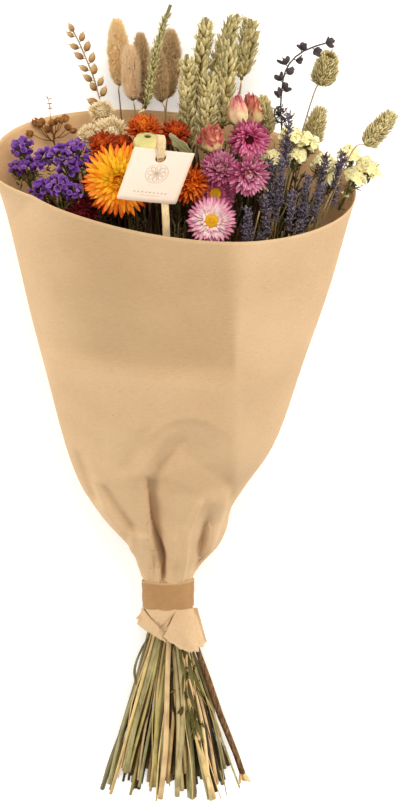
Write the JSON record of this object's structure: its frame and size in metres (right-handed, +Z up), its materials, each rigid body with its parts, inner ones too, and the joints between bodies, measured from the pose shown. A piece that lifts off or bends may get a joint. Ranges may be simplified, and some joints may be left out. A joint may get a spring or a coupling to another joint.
{
  "type": "dried flower bouquet",
  "caption": "Mixed dried flower and grass bouquet, bound at the stems and wrapped in a flared kraft paper sleeve with a band and a hanging card, lying on its back.",
  "frame": {"origin": "on the table under the middle of the bouquet's bounding box", "axes": "+Y from the cut stem ends to the flower tips, +X to the bouquet's right side, +Z up from the table it lies on"},
  "size_m": [0.2694, 0.6132, 0.148],
  "materials": {
    "kraft_paper": "matte, soft creases",
    "paper_band": "matte",
    "twine": "twisted fibre",
    "card": "smooth matte",
    "paper_strip": "matte, fibrous",
    "stem": "dry, faint sheen",
    "woody_stem": "dry bark",
    "wheat": "dry husk",
    "bunny_tail": "soft and hairy",
    "canary_grass": "dry husk",
    "rose": "dried petal",
    "strawflower_gold": "papery petal, faint sheen",
    "strawflower_red": "papery petal, faint sheen",
    "daisy": "papery petal, faint sheen",
    "daisy_disc": "tufted",
    "white_bud": "papery petal",
    "purple_statice": "papery petal",
    "cream_statice": "papery petal",
    "lavender": "dry bud",
    "flax": "dry pod",
    "dark_spray": "dry",
    "berry": "dry pod",
    "seed_pod": "dry capsule",
    "leaf": "dried leaf"
  },
  "bodies": {
    "root": {"kraft_sleeve": "kraft_paper", "paper_band": "paper_band", "binding_twine": "twine", "card": "card", "card_strip": "paper_strip", "stems": "stem", "woody_stem": "woody_stem", "wheat_ear_1": "wheat", "wheat_ear_2": "wheat", "wheat_ear_3": "wheat", "wheat_ear_4": "wheat", "wheat_ear_5": "wheat", "wheat_ear_6": "wheat", "wheat_ear_7": "wheat", "bunny_tail_1": "bunny_tail", "bunny_tail_2": "bunny_tail", "bunny_tail_3": "bunny_tail", "bunny_tail_4": "bunny_tail", "bunny_tail_5": "bunny_tail", "canary_grass_1": "canary_grass", "canary_grass_2": "canary_grass", "canary_grass_3": "canary_grass", "canary_grass_4": "canary_grass", "rose_1": "rose", "rose_2": "rose", "rose_3": "rose", "strawflower_1": "strawflower_gold", "strawflower_2": "strawflower_red", "strawflower_3": "strawflower_red", "strawflower_4": "strawflower_red", "strawflower_5": "strawflower_red", "strawflower_6": "strawflower_red", "strawflower_7": "strawflower_red", "daisy_1": "daisy", "daisy_2": "daisy", "daisy_3": "daisy", "daisy_4": "daisy", "daisy_5": "daisy", "daisy_disc_1": "daisy_disc", "daisy_disc_5": "daisy_disc", "white_bud_1": "white_bud", "white_bud_2": "white_bud", "white_bud_3": "white_bud", "purple_statice_1": "purple_statice", "purple_statice_2": "purple_statice", "purple_statice_3": "purple_statice", "cream_statice_1": "cream_statice", "cream_statice_2": "cream_statice", "cream_statice_3": "cream_statice", "cream_statice_4": "cream_statice", "lavender_1": "lavender", "lavender_2": "lavender", "lavender_3": "lavender", "lavender_4": "lavender", "flax_spray": "flax", "dark_spray": "dark_spray", "berry_sprig": "berry", "seed_pod": "seed_pod", "leaf": "leaf"}
  },
  "joints": []
}
